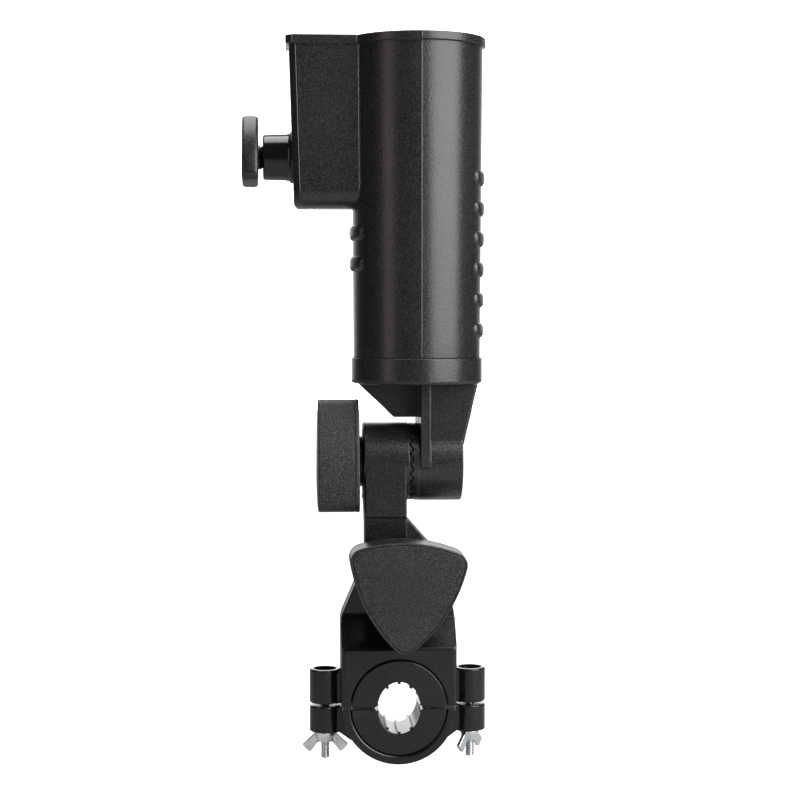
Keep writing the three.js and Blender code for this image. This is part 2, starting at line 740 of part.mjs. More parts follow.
addPart(rodHolder, 'clamp_body', clampBody(), satinBlack());
addPart(rodHolder, 'clamp_jaw', clampJaw(), satinBlack());
addPart(rodHolder, 'reducer_upper', reducer(1), satinBlack());
addPart(rodHolder, 'reducer_lower', reducer(-1), satinBlack());

const EARS = [
  { side: 'left', x: -EAR_X, turn: 0 },
  { side: 'right', x: EAR_X, turn: RIGHT_WING_TURN },
];
for (const { side, x, turn } of EARS) {
  const boltSeat = EAR_RECESS + GAP;
  addPart(rodHolder, `clamp_bolt_${side}`, hexBolt(M4_FLATS, M4_HEAD, M4_RADIUS, boltSeat - M4_END),
    zincSteel(), (mesh) => {
      mesh.position.set(x, 0, boltSeat);
      mesh.rotation.x = Math.PI;
    });
  addPart(rodHolder, `wing_nut_${side}`, wingNut(), zincSteel(), (mesh) => {
    mesh.position.set(x, 0, EAR_BOTTOM - GAP);
    mesh.rotation.z = radians(turn);
  });
}

export default rodHolder;
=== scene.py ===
"""Clamp-on rod holder: detailed pieces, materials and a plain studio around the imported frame.

Shapes are drawn in millimetres in the frame's axes and turned into metres when they are linked.
"""
import json
import math

import bmesh
import bpy
from mathutils import Matrix, Vector


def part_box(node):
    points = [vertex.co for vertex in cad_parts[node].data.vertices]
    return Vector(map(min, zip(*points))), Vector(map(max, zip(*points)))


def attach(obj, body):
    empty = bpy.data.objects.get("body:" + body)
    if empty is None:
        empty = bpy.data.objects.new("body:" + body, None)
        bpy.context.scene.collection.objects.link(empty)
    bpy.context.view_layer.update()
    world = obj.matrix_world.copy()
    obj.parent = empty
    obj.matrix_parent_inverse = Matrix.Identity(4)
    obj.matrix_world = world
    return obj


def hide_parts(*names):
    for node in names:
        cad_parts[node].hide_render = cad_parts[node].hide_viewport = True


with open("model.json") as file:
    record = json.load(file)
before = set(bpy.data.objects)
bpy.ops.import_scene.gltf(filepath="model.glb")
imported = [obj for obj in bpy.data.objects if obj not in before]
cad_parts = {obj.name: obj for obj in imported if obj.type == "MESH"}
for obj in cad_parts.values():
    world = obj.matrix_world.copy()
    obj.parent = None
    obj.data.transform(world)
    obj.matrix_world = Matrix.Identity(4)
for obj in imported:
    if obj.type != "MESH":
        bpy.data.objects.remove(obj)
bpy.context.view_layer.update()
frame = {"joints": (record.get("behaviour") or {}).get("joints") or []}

# ---------- sizes ----------

MM = 0.001
JOINTS = {j["name"]: [c / MM for c in j.get("pos_m", (0, 0, 0))] for j in frame["joints"]}
TILT_Z = JOINTS["tilt"][2]
SWIVEL_X, _, SWIVEL_Z = JOINTS["swivel"]
SCREW_Z = JOINTS["thumb_screw_turn"][2]


def box(node):
    """The low and high corners of a CAD node's box, in millimetres."""
    low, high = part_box(node)
    return [c / MM for c in low], [c / MM for c in high]


TUBE_LOW, TUBE_HIGH = box("holder_tube")
BASE_HIGH = box("tube_base")[1]
ARM_LOW, ARM_HIGH = box("arm")
SCREW_LOW, SCREW_HIGH = box("thumb_screw")
BODY_LOW, BODY_HIGH = box("clamp_body")
JAW_LOW = box("clamp_jaw")[0]

# Tube, with a side pocket, grip ribs and a thin moulding seam front and back
TUBE_TOP = TUBE_HIGH[2]
RIM_PROUD = 1.5
RIM_HEIGHT = 3.8
TUBE_RADIUS = TUBE_HIGH[1] - RIM_PROUD
TUBE_RADIUS_LOW = TUBE_RADIUS - 0.9
TUBE_X = TUBE_HIGH[0] - TUBE_HIGH[1]
TUBE_WALL = 2.7
SPIGOT_RADIUS = 26.5
POCKET_LEFT = -47.6
POCKET_DRAFT = 2.3
POCKET_HALF = 14.0
POCKET_BOTTOM = 217.6
POCKET_UNDER = 8.0
POCKET_UNDER_END = 2.6
POCKET_CHAMFER = 2.6
GROOVE = 0.4
BEND_FROM = 118.0
GRIPS = [(0, 164.8 + 13.22 * i) for i in range(6)] + [(180, 193.8), (180, 207.2)]
GRIP_PROUD = 1.45
GRIP_HALF_HEIGHT = 3.3
GRIP_HALF_ANGLE = 32
SEAM_PROUD = 0.13

# Cup and neck
CUP_TOP = BASE_HIGH[2]
CUP_BOTTOM = CUP_TOP - 11.4
CUP_SEAT = CUP_TOP - 8.7
CUP_RADIUS = BASE_HIGH[1]
CUP_BORE = 26.8
CUP_LEDGE = 24.9
DRUM_RADIUS = ARM_HIGH[1]
DRUM_LEFT = 9.1
DRUM_RIGHT = 27.6
NECK_HALF = 14.3
NECK_CREASE = 115.4
GUSSET_HALF = 5.0
GUSSET_BOTTOM = 126.9
SPINE_HALF = 17.9
SPINE_BOTTOM = 105.4
SPINE_RIGHT = 13.2

# Arm
ARM_LEFT = ARM_LOW[0]
ARM_RIGHT = 3.0
DISC_FRONT = -14.0
DISC_BACK = -4.4
SHANK_CREASE = 84.4
WEB_TOP = 84.2

# Face teeth
TOOTH_COUNT = 24
TOOTH_HEIGHT = 1.2
TOOTH_GAP = 0.3
TOOTH_INNER = 8.0
TOOTH_OUTER = 16.9
TOOTH_CHAMFER = 0.4
COLLAR_RADIUS = TOOTH_OUTER + 0.2
TILT_TEETH_X = 4.55
SWIVEL_TEETH_Y = -3.55

# Knobs and joint hardware
KNOB = dict(mid=20.1, tip=28.1, corner=5.8)
KNOB_DEPTH = 18.0
KNOB_WALL = 2.8
KNOB_HUB = 8.6
NUT_AT = 3.3
KNOB_TILT_TURN = -12
KNOB_SWIVEL_TURN = 177
M6_RADIUS = 3.0
M6_PITCH = 1.0
M6_HOLE = 3.4
M6_FLATS = 10.0
M6_HEAD = 4.0
M6_NUT = 5.0
FLATS_CLEARANCE = 0.6
HEAD_RECESS = 4.6
PLAY = 0.3
WASHER_RADIUS = 11.0
WASHER_THICK = 1.6

# Thumb screw
PLATE = dict(mid=13.0, tip=18.0, corner=3.9)
PLATE_DEPTH = 7.1
PLATE_RIGHT = SCREW_LOW[0] + PLATE_DEPTH
SCREW_RADIUS = 5.25
SCREW_PITCH = 3.0
SCREW_HOLE = SCREW_RADIUS + 0.3

# Clamp
HALF_DEPTH = BODY_HIGH[1]
HALF_WIDTH = 25.3
SPLIT = BODY_LOW[2]
SEAT_RADIUS = 21.1
JAW_RADIUS = -JAW_LOW[2]
PLATE_RADIUS = BODY_HIGH[2] - SWIVEL_Z
PLATE_FRONT = -1.5
REDUCER_RADIUS = 20.8
REDUCER_SPLIT = 0.4
BORE = (9.4, 11.4)
EAR_X = -JOINTS["wing_nut_left_turn"][0]
EAR_RADIUS = 6.8
EAR_TOP = 15.6
EAR_BOTTOM = -12.2
EAR_RECESS = 9.2
EAR_COUNTERBORE = 5.1
EAR_NECK_HALF = 4.8
M4_RADIUS = 2.0
M4_PITCH = 0.7
M4_HOLE = 2.3
M4_FLATS = 7.0
M4_HEAD = 2.8
WING_TURNS = dict(left=0, right=54)

# ---------- outlines, as lists of (u, v) ----------


def arc(u, v, radius, start, end, steps):
    """Points on a circle about (u, v), between two angles in degrees."""
    points = []
    for i in range(steps + 1):
        angle = math.radians(start + (end - start) * i / steps)
        points.append((u + radius * math.cos(angle), v + radius * math.sin(angle)))
    return points


def hexagon(flats, u=0, v=0):
    return arc(u, v, flats / math.sqrt(3), 0, 300, 5)


def rounded(corners, steps=4):
    """A polygon whose corners, given as (u, v, radius), are rounded."""
    points = []
    for i, corner in enumerate(corners):
        here = Vector(corner[:2])
        radius = corner[2] if len(corner) > 2 else 0
        if not radius:
            points.append(tuple(here))
            continue
        before = (Vector(corners[i - 1][:2]) - here).normalized()
        after = (Vector(corners[(i + 1) % len(corners)][:2]) - here).normalized()
        half = before.angle(after) / 2
        centre = here + (before + after).normalized() * radius / math.sin(half)
        spoke = here + before * radius / math.tan(half) - centre
        side = 1 if after.x * before.y - after.y * before.x > 0 else -1
        turn = side * (math.pi - 2 * half)
        for s in range(steps + 1):
            points.append(tuple(centre + Matrix.Rotation(turn * s / steps, 2) @ spoke))
    return points


def rounded_box(left, right, low, high, radius, steps=6):
    corners = [(left, low), (right, low), (right, high), (left, high)]
    return rounded([(u, v, radius) for u, v in corners], steps)


def trilobe(mid, tip, corner, inset=0.0, side_steps=16, corner_steps=10):
    """A triangle with bulging sides and round corners; one corner points up."""
    reach = tip - corner
    side = mid - corner
    offset = (side ** 2 - reach ** 2) / (reach - 2 * side)
    sweep = math.degrees(math.atan2(reach * math.cos(math.pi / 6), offset + reach / 2))
    points = []
    for turn in (0, 120, 240):
        middle = turn - 90
        centre = arc(0, 0, offset, turn + 90, 0, 1)[0]
        bow = offset + mid - inset
        points += arc(*centre, bow, middle - sweep, middle + sweep, side_steps)[1:]
        centre = arc(0, 0, reach, turn - 30, 0, 1)[0]
        first, last = middle + sweep, middle + 120 - sweep
        points += arc(*centre, corner - inset, first, last, corner_steps)[1:]
    return points


# ---------- meshes ----------

PLACE = {
    "X": lambda u, v, w: (w, u, v),
    "Y": lambda u, v, w: (u, w, v),
    "Z": lambda u, v, w: (u, v, w),
}


def new_object(name, points, faces):
    """Links a closed mesh with its faces turned outwards."""
    mesh = bpy.data.meshes.new(name)
    mesh.from_pydata(points, [], faces)
    made = bmesh.new()
    made.from_mesh(mesh)
    bmesh.ops.remove_doubles(made, verts=made.verts, dist=1e-4)
    bmesh.ops.dissolve_degenerate(made, edges=made.edges, dist=1e-5)
    bmesh.ops.recalc_face_normals(made, faces=made.faces)
    if made.calc_volume(signed=True) < 0:
        bmesh.ops.reverse_faces(made, faces=made.faces)
    made.to_mesh(mesh)
    made.free()
    piece = bpy.data.objects.new(name, mesh)
    bpy.context.scene.collection.objects.link(piece)
    return piece


def skin(rings, closed=False):
    """Faces between rings of equal point count. A closed skin's last ring meets its first."""
    count = len(rings[0])
    faces = []
    for r in range(len(rings) if closed else len(rings) - 1):
        a = r * count
        b = (r + 1) % len(rings) * count
        for i in range(count):
            j = (i + 1) % count
            faces.append((a + i, a + j, b + j, b + i))
    if not closed:
        faces.append(tuple(range(count)))
        faces.append(tuple(len(rings) * count - 1 - i for i in range(count)))
    return faces


def ring_object(name, rings, closed=False):
    return new_object(name, [p for ring in rings for p in ring], skin(rings, closed))


def prism(axis, outline, low, high):
    """An outline drawn across an axis and carried along it from low to high."""
    rings = [[PLACE[axis](u, v, at) for u, v in outline] for at in (low, high)]
    return ring_object("prism", rings)


def turned(axis, profile, centre=(0, 0), segments=96):
    """A closed profile of (radius, position) points turned about an axis."""
    rings = []
    for i in range(segments):
        angle = 2 * math.pi * i / segments
        ring = []
        for radius, at in profile:
            u = centre[0] + radius * math.cos(angle)
            v = centre[1] + radius * math.sin(angle)
            ring.append(PLACE[axis](u, v, at))
        rings.append(ring)
    return ring_object("turned", rings, closed=True)


def rod(axis, radius, low, high, centre=(0, 0), segments=64):
    outline = arc(*centre, radius, 0, 360 - 360 / segments, segments - 1)
    return prism(axis, outline, low, high)


def tooth_ring(axis, centre, flat_at, teeth_at):
    """A ring of radial teeth; each tooth has a narrow crest and a narrow root."""
    rings = []
    middle = (TOOTH_OUTER + TOOTH_INNER) / 2
    steps = ((0.0, 0), (0.1, 0), (0.4, 1), (0.6, 1), (0.9, 0))
    for tooth in range(TOOTH_COUNT):
        for share, lift in steps:
            angle = 360 * (tooth + share) / TOOTH_COUNT
            crest = teeth_at + TOOTH_HEIGHT * (0.06 + 0.88 * lift)
            ring = []
            corners = (
                (TOOTH_INNER, flat_at),
                (TOOTH_OUTER, flat_at),
                (TOOTH_OUTER, crest - math.copysign(TOOTH_CHAMFER, crest - flat_at)),
                (TOOTH_OUTER - TOOTH_CHAMFER, crest),
                (middle, crest),
                (TOOTH_INNER, crest),
            )
            for radius, at in corners:
                u, v = arc(*centre, radius, angle, 0, 1)[0]
                ring.append(PLACE[axis](u, v, at))
            rings.append(ring)
    return ring_object("teeth", rings, closed=True)


def thread(radius, depth, pitch, low, high, segments=28, steps=8):
    """A threaded rod along Z with plain chamfered ends."""
    count = int((high - low) / pitch * steps)
    rings = []
    for r in range(count + 1):
        z = low + (high - low) * r / count
        ends = min(z - low, high - z)
        ring = []
        for i in range(segments):
            share = (z / pitch - i / segments) % 1
            crest = min(1, max(0, 2.6 * abs(share - 0.5) - 0.25))
            reach = radius - depth * crest - max(0, 0.6 - ends) * 0.8
            angle = 2 * math.pi * i / segments
            ring.append((reach * math.cos(angle), reach * math.sin(angle), z))
        rings.append(ring)
    return ring_object("thread", rings)


def bake_modifiers(piece):
    """Turns a piece's modifiers into plain mesh."""
    graph = bpy.context.evaluated_depsgraph_get()
    mesh = bpy.data.meshes.new_from_object(piece.evaluated_get(graph))
    piece.modifiers.clear()
    piece.data = mesh


def combine(body, tools, operation):
    for tool in tools:
        step = body.modifiers.new("step", "BOOLEAN")
        step.operation = operation
        step.solver = "MANIFOLD"
        step.object = tool
    bake_modifiers(body)
    for tool in tools:
        bpy.data.objects.remove(tool)
    return body


def add(body, *tools):
    return combine(body, tools, "UNION")


def cut(body, *tools):
    return combine(body, tools, "DIFFERENCE")


def common(body, *tools):
    return combine(body, tools, "INTERSECT")


def soften(piece, width, segments=3):
    """Rounds the edges of a piece made by cuts and joins, after clearing its slivers."""
    made = bmesh.new()
    made.from_mesh(piece.data)
    bmesh.ops.remove_doubles(made, verts=made.verts, dist=2e-3)
    bmesh.ops.dissolve_limit(
        made, angle_limit=math.radians(0.6), verts=made.verts, edges=made.edges
    )
    made.to_mesh(piece.data)
    made.free()
    edge = piece.modifiers.new("edge", "BEVEL")
    edge.width = width
    edge.segments = segments
    edge.limit_method = "ANGLE"
    edge.angle_limit = math.radians(28)
    edge.use_clamp_overlap = False
    edge.miter_outer = "MITER_ARC"
    bake_modifiers(piece)
    return piece


def finish_piece(name, piece, body, nodes, material, place=None):
    """Names a piece, puts it in metres where it belongs, ties it to its body and hides the nodes it
    stands for.
    """
    piece.name = name
    mesh = piece.data
    mesh.name = name
    mesh.transform(Matrix.Scale(MM, 4) @ (place or Matrix.Identity(4)))
    mesh.materials.clear()
    mesh.materials.append(material)
    mesh.shade_smooth()
    mesh.set_sharp_from_angle(angle=math.radians(38))
    flat = piece.modifiers.new("normals", "WEIGHTED_NORMAL")
    flat.keep_sharp = True
    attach(piece, body)
    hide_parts(*nodes)


# ---------- materials ----------


def node(tree, kind, inputs=None, **settings):
    """A shader node; each input is a number or another node's output."""
    made = tree.nodes.new(kind)
    for key, value in settings.items():
        setattr(made, key, value)
    for key, value in (inputs or {}).items():
        if isinstance(value, bpy.types.NodeSocket):
            tree.links.new(value, made.inputs[key])
        else:
            made.inputs[key].default_value = value
    return made


def noise(tree, place, scale, detail=3.0, roughness=0.6):
    inputs = {"Vector": place, "Scale": scale, "Detail": detail, "Roughness": roughness}
    return node(tree, "ShaderNodeTexNoise", inputs).outputs["Fac"]


def spread(tree, value, low, high, from_low=0.3, from_high=0.7):
    """Maps from_low..from_high, where most of a noise lies, to low..high."""
    inputs = {"Value": value, 1: from_low, 2: from_high, 3: low, 4: high}
    return node(tree, "ShaderNodeMapRange", inputs).outputs[0]


def blend_colour(tree, share, first, second):
    made = node(tree, "ShaderNodeMix", {0: share}, data_type="RGBA")
    for socket, value in ((made.inputs[6], first), (made.inputs[7], second)):
        if isinstance(value, bpy.types.NodeSocket):
            tree.links.new(value, socket)
        else:
            socket.default_value = (*value, 1)
    return made.outputs[2]


def shader(name, **fixed):
    """A new material, its node tree, its surface shader and the object's own coordinates."""
    material = bpy.data.materials.new(name)
    material.use_nodes = True
    tree = material.node_tree
    surface = tree.nodes["Principled BSDF"]
    for key, value in fixed.items():
        surface.inputs[key.replace("_", " ")].default_value = value
    place = node(tree, "ShaderNodeTexCoord").outputs["Object"]
    return material, tree, surface, place


def moulded_plastic(name, colour, rough, grain_mm, grain_depth, painted_glints, specular=0.5):
    """Black moulded plastic: spark grain, faint flow marks, and edges painted paler, partly as wear
    from use and partly as a painted edge highlight.

    The grain is grain_mm across and grain_depth high, and painted_glints is how far its crests are
    painted paler, as painted glints.
    """
    material, tree, surface, place = shader(name, IOR=1.5, Specular_IOR_Level=specular)
    grain = noise(tree, place, 1 / (grain_mm * MM), detail=0.6, roughness=0.5)
    fine = noise(tree, place, 2.3 / (grain_mm * MM), detail=1.5)
    cloud = noise(tree, place, 45.0, detail=4.0)
    flow = noise(tree, place, 12.0, detail=2.0)
    low, high = [c * 0.8 for c in colour], [c * 1.2 for c in colour]
    tone = blend_colour(tree, spread(tree, cloud, 0, 1), low, high)
    # Painted glints: the grain's crests are painted paler to stand in for glints of light on the grain.
    crest = spread(tree, grain, 0, painted_glints, 0.47, 0.66)
    tone = blend_colour(tree, crest, tone, [c * 4 + 0.026 for c in colour])
    # Sharp edges found by pointiness are painted paler: partly wear from use, partly a painted edge
    # highlight.
    edge = node(tree, "ShaderNodeNewGeometry").outputs["Pointiness"]
    wear_and_painted_edge_highlight = spread(tree, edge, 0, 0.4, 0.53, 0.62)
    tone = blend_colour(tree, wear_and_painted_edge_highlight, tone, [c * 3 + 0.008 for c in colour])
    tree.links.new(tone, surface.inputs["Base Color"])
    base = spread(tree, flow, rough - 0.03, rough + 0.04)
    gloss = node(tree, "ShaderNodeMath", {0: base, 1: spread(tree, fine, -0.07, 0.08)})
    tree.links.new(gloss.outputs[0], surface.inputs["Roughness"])
    height = node(tree, "ShaderNodeMath", {0: fine, 1: 0.25, 2: grain}, operation="MULTIPLY_ADD")
    bump = node(tree, "ShaderNodeBump", {"Height": height.outputs[0], "Strength": 1.0})
    bump.inputs["Distance"].default_value = grain_depth * MM
    tree.links.new(bump.outputs[0], surface.inputs["Normal"])
    return material


def zinc_steel(name, rough):
    """Bright zinc plate: soft grain, small dull patches and fine tumbling marks."""
    material, tree, surface, place = shader(name, Metallic=1.0)
    patch = noise(tree, place, 420.0, detail=4.0)
    marks = noise(tree, place, 3800.0, detail=2.0)
    dull = spread(tree, patch, 0, 1, 0.35, 0.7)
    tone = blend_colour(tree, dull, (0.82, 0.83, 0.84), (0.62, 0.63, 0.64))
    tree.links.new(tone, surface.inputs["Base Color"])
    gloss = spread(tree, patch, rough, rough + 0.2, 0.35, 0.7)
    tree.links.new(gloss, surface.inputs["Roughness"])
    bump = node(tree, "ShaderNodeBump", {"Height": marks, "Strength": 0.8})
    bump.inputs["Distance"].default_value = 0.02 * MM
    tree.links.new(bump.outputs[0], surface.inputs["Normal"])
    return material


TUBE_PLASTIC = moulded_plastic(
    "tube_plastic", (0.0102, 0.0092, 0.009), rough=0.26, grain_mm=0.6, grain_depth=0.06, painted_glints=0.3
)
ARM_PLASTIC = moulded_plastic(
    "arm_plastic", (0.0056, 0.0054, 0.0056), rough=0.29,
    grain_mm=0.55, grain_depth=0.06, painted_glints=0.42, specular=0.46,
)
KNOB_PLASTIC = moulded_plastic(
    "knob_plastic", (0.0048, 0.0048, 0.0049), rough=0.4,
    grain_mm=0.4, grain_depth=0.12, painted_glints=1.0, specular=0.4,
)
CLAMP_PLASTIC = moulded_plastic(
    "clamp_plastic", (0.003, 0.0032, 0.0036), rough=0.22,
    grain_mm=0.6, grain_depth=0.02, painted_glints=0.17, specular=0.45,
)
BOSS_PLASTIC = moulded_plastic(
    "boss_plastic", (0.0022, 0.0021, 0.0021), rough=0.16, grain_mm=0.4, grain_depth=0.01, painted_glints=0.03
)
WASHER_PLASTIC = moulded_plastic(
    "washer_plastic", (0.003, 0.003, 0.003), rough=0.35, grain_mm=0.5, grain_depth=0.015, painted_glints=0.1
)
PAD_RUBBER = moulded_plastic(
    "pad_rubber", (0.01, 0.0097, 0.0094), rough=0.75,
    grain_mm=0.5, grain_depth=0.1, painted_glints=0.1, specular=0.3,
)
ZINC = zinc_steel("zinc_steel", rough=0.15)

# ---------- tube ----------


def tube_radius(z):
    """The barrel's radius, which grows slightly from the cup to the rim."""
    share = (z - CUP_TOP) / (TUBE_TOP - RIM_HEIGHT - CUP_TOP)
    return TUBE_RADIUS_LOW + (TUBE_RADIUS - TUBE_RADIUS_LOW) * min(1, max(0, share))


def barrel_angles():
    """Angles round the barrel, close together at the seams and at the ends of the grips."""
    half = [3.0 * i for i in range(8)]
    half += [24 + 0.8 * i for i in range(17)]
    half += [38 + 3 * i for i in range(17)]
    half += [88.9, 89.3, 89.65, 90, 90.35, 90.7, 91.1]
    half += [93 + 3 * i for i in range(9)]
    half += [120 + 1.0 * i for i in range(28)]
    half = sorted(set(round(a, 3) for a in half))
    return [-a for a in reversed(half) if a] + half


BARREL = barrel_angles()


def relief(angle, z):
    """How far the grips and the moulding seam stand proud of the barrel."""
    proud = 0.0
    for middle, centre in GRIPS:
        turn = abs((angle - middle + 180) % 360 - 180)
        straight = GRIP_HALF_ANGLE - math.degrees(GRIP_HALF_HEIGHT / TUBE_RADIUS)
        across = max(0, turn - straight) * math.pi / 180 * TUBE_RADIUS
        away = math.hypot(across, z - centre) / GRIP_HALF_HEIGHT
        if away < 1:
            proud = max(proud, GRIP_PROUD * (1 - away ** 2.6) ** 0.6)
    for seam in (-90, 90):
        away = abs((angle - seam + 180) % 360 - 180)
        proud = max(proud, SEAM_PROUD * (1 - away / 0.9))
    return proud


def fillet_inset(height, radius):
    """How far a round lower edge is drawn in at a height above its foot."""
    if height >= radius:
        return 0.0
    return radius * (1 - math.sqrt(1 - (1 - max(0, height) / radius) ** 2))


def bent(angle, limit):
    """Squeezes the barrel's last angles together so that they end at limit."""
    if abs(angle) <= BEND_FROM:
        return angle
    share = (abs(angle) - BEND_FROM) / (BARREL[-1] - BEND_FROM)
    return math.copysign(BEND_FROM + share * (limit - BEND_FROM), angle)


def on_barrel(angle, reach):
    a = math.radians(angle)
    return TUBE_X + reach * math.cos(a), reach * math.sin(a)


def pocket_ring(z, out, half, left):
    """The keyhole outline of barrel and pocket, moved out by out.

    A small groove marks where the pocket's side leaves the barrel, and another its front corner.
    """
    radius = tube_radius(z)
    wide = half + out
    groove = TUBE_X - math.sqrt((radius + out) ** 2 - (wide - GROOVE) ** 2)
    limit = math.degrees(math.atan2(wide - GROOVE, groove - TUBE_X))
    points = []
    for base in BARREL:
        angle = bent(base, limit)
        proud = min(relief(angle, z), RIM_PROUD - out) if out >= 0 else 0
        points.append(on_barrel(angle, radius + out + proud))
    flank = ((0.06, 0.98), (0.3, 0.64), (0.5, 0.38), (0.66, 0.18), (0.8, 0.05), (0.95, 0), (1.1, 0))
    upper = [(groove - along, wide - GROOVE * down) for along, down in flank]
    end = left - out
    chamfer = POCKET_CHAMFER + min(0, out) * 0.4
    front = end + chamfer + 0.75
    run = front - groove + 1.1
    upper += [(groove - 1.1 + run * s / 7, wide) for s in range(1, 7)]
    corners = rounded([
        (groove - 1.1, wide),
        (front, wide, 0.2),
        (front - 0.35, wide - 0.3, 0.1),
        (front - 0.75, wide - 0.14, 0.3),
        (end, wide - chamfer, 0.7),
        (end, 0),
    ], 3)
    upper += corners[1:-1]
    upper += [(end, (wide - chamfer - 0.4) * (1 - s / 5)) for s in range(1, 5)]
    lower = [(u, -v) for u, v in reversed(upper)]
    return [(u, v, z) for u, v in points + upper + [(end, 0)] + lower]


def round_ring(z, radius, limit, relieved=False):
    """A plain circle whose points pair up with those of a pocket ring."""
    extra = len(pocket_ring(TUBE_TOP, 0, POCKET_HALF, POCKET_LEFT)) - len(BARREL)
    step = (360 - 2 * limit) / (extra + 1)
    angles = [bent(base, limit) for base in BARREL]
    angles += [limit + step * (i + 1) for i in range(extra)]
    ring = []
    for angle in angles:
        reach = radius + (relief(angle, z) if relieved else 0)
        ring.append((*on_barrel(angle, reach), z))
    return ring


def pocket_limit(half, z):
    """The angle round the barrel where a pocket of this half width begins."""
    return 180 - math.degrees(math.asin((half - GROOVE) / tube_radius(z)))


def pocket_left(z):
    """The pocket's end face, which leans inwards towards its foot."""
    return POCKET_LEFT + POCKET_DRAFT * (TUBE_TOP - z) / (TUBE_TOP - POCKET_BOTTOM)


def outer_ring(z, out=0.0):
    height = z - POCKET_BOTTOM
    half = POCKET_HALF - fillet_inset(height, POCKET_UNDER)
    return pocket_ring(z, out, half, pocket_left(z) + fillet_inset(height, POCKET_UNDER_END))


def inner_ring(z):
    height = z - POCKET_BOTTOM - TUBE_WALL
    half = POCKET_HALF - fillet_inset(height, POCKET_UNDER - TUBE_WALL)
    return pocket_ring(z, -TUBE_WALL, half, pocket_left(z) + fillet_inset(height, 1.0))


def grip_levels():
    """Heights of the rings that shape the grip ribs."""
    steps = (3.4, 3.25, 3.0, 2.6, 2.1, 1.5, 0.8)
    levels = [c for _, c in GRIPS]
    return levels + [c + s * side for _, c in GRIPS for s in steps for side in (-1, 1)]


def tube_outside():
    """Rings from the spigot in the cup up to the rim's outer edge."""
    limit = pocket_limit(POCKET_HALF - POCKET_UNDER, POCKET_BOTTOM)
    rings = [
        round_ring(TUBE_LOW[2], SPIGOT_RADIUS, limit),
        round_ring(CUP_TOP + 0.05, SPIGOT_RADIUS, limit),
        round_ring(CUP_TOP + 0.06, TUBE_RADIUS_LOW - 0.35, limit),
        round_ring(CUP_TOP + 0.18, TUBE_RADIUS_LOW - 0.1, limit),
    ]
    plain = [CUP_TOP + 0.4 + 6.5 * i for i in range(10)]
    low = set(round(z, 2) for z in plain + grip_levels() if z < POCKET_BOTTOM)
    rings += [round_ring(z, tube_radius(z), limit, True) for z in sorted(low)]
    rings.append(round_ring(POCKET_BOTTOM, tube_radius(POCKET_BOTTOM), limit, True))

    heights = (0, 0.06, 0.25, 0.6, 1.1, 1.8, 2.6, 3.6, 4.8, 6.2, 8.0)
    high = [POCKET_BOTTOM + h for h in heights]
    high += [z for z in grip_levels() if POCKET_BOTTOM + 0.3 < z]
    high += [232 + 9 * i for i in range(1, 7)]
    rings += [outer_ring(z) for z in sorted(set(round(z, 2) for z in high))]
    rim = ((-0.25, 0), (-0.05, 0.12), (0, 0.45), (0, 0.95), (0.12, 1.2), (0.45, 1.37))
    return rings + [outer_ring(TUBE_TOP - RIM_HEIGHT + up, out) for up, out in rim]


def tube_inside():
    """Rings from the rim's outer edge over its crown and down the bore."""
    crown = ((-0.7, 1.37), (-0.3, 1.24), (-0.06, 0.92), (0, 0.55), (0, -1.9), (-0.1, -2.4))
    rings = [outer_ring(TUBE_TOP + up, out) for up, out in crown]
    floor = POCKET_BOTTOM + TUBE_WALL
    rings += [inner_ring(z) for z in (TUBE_TOP - 0.5, 272.0, 255.0, 240.0)]
    rings += [inner_ring(floor + h) for h in (5.3, 3.6, 2.2, 1.2, 0.5, 0.1, 0)]
    limit = pocket_limit(POCKET_HALF - POCKET_UNDER + TUBE_WALL, floor)
    for z in (floor, 200.0, 180.0, 160.0, TUBE_LOW[2]):
        rings.append(round_ring(z, tube_radius(z) - TUBE_WALL, limit))
    return rings


def holder_tube():
    tube = ring_object("tube", tube_outside() + tube_inside(), closed=True)
    return cut(tube, rod("X", SCREW_HOLE, -60, -38, (0, SCREW_Z), 48))


def screw_boss():
    """The thumb screw's round boss, flared where it meets the pocket's end."""
    left = TUBE_LOW[0]
    profile = rounded([
        (SCREW_HOLE, left, 0.5),
        (9.8, left, 0.9),
        (10.1, -48.6),
        (10.4, -47.3),
        (11.3, -46.55),
        (11.3, -45.4),
        (SCREW_HOLE, -45.4),
    ])
    return turned("X", profile, (0, SCREW_Z))


# ---------- cup, neck and drum ----------


def hex_recess(axis, flats, centre, low, high):
    return prism(axis, hexagon(flats + FLATS_CLEARANCE, *centre), low, high)


def cup():
    return turned("Z", rounded([
        (0, CUP_BOTTOM),
        (CUP_RADIUS, CUP_BOTTOM, 1.6),
        (CUP_RADIUS, CUP_TOP, 0.55),
        (CUP_BORE, CUP_TOP),
        (CUP_BORE, CUP_SEAT),
        (CUP_LEDGE, CUP_SEAT),
        (CUP_LEDGE, CUP_SEAT + 1),
        (0, CUP_SEAT + 1),
    ]), (TUBE_X, 0), 128)


def cup_seam(side):
    """A thin moulding seam down the cup; side is -1 for the front and 1 for the back."""
    foot = side * (CUP_RADIUS - 0.3)
    crest = side * (CUP_RADIUS + SEAM_PROUD)
    ridge = [(TUBE_X - 0.3, foot), (TUBE_X + 0.3, foot), (TUBE_X, crest)]
    return prism("Z", ridge, CUP_BOTTOM + 1.6, CUP_TOP - 0.5)


def neck():
    """The slab from the cup to the tilt drum, its right side creased where it turns upright."""
    top = CUP_BOTTOM + 0.8
    slab = prism("Y", rounded([
        (DRUM_LEFT + 1, top),
        (DRUM_LEFT + 1, TILT_Z),
        (DRUM_RIGHT, TILT_Z),
        (DRUM_RIGHT, NECK_CREASE - 1.4),
        (DRUM_RIGHT + 0.3, NECK_CREASE, 0.5),
        (34.4, top),
    ]), -NECK_HALF, NECK_HALF)
    return soften(slab, 1.2, 5)


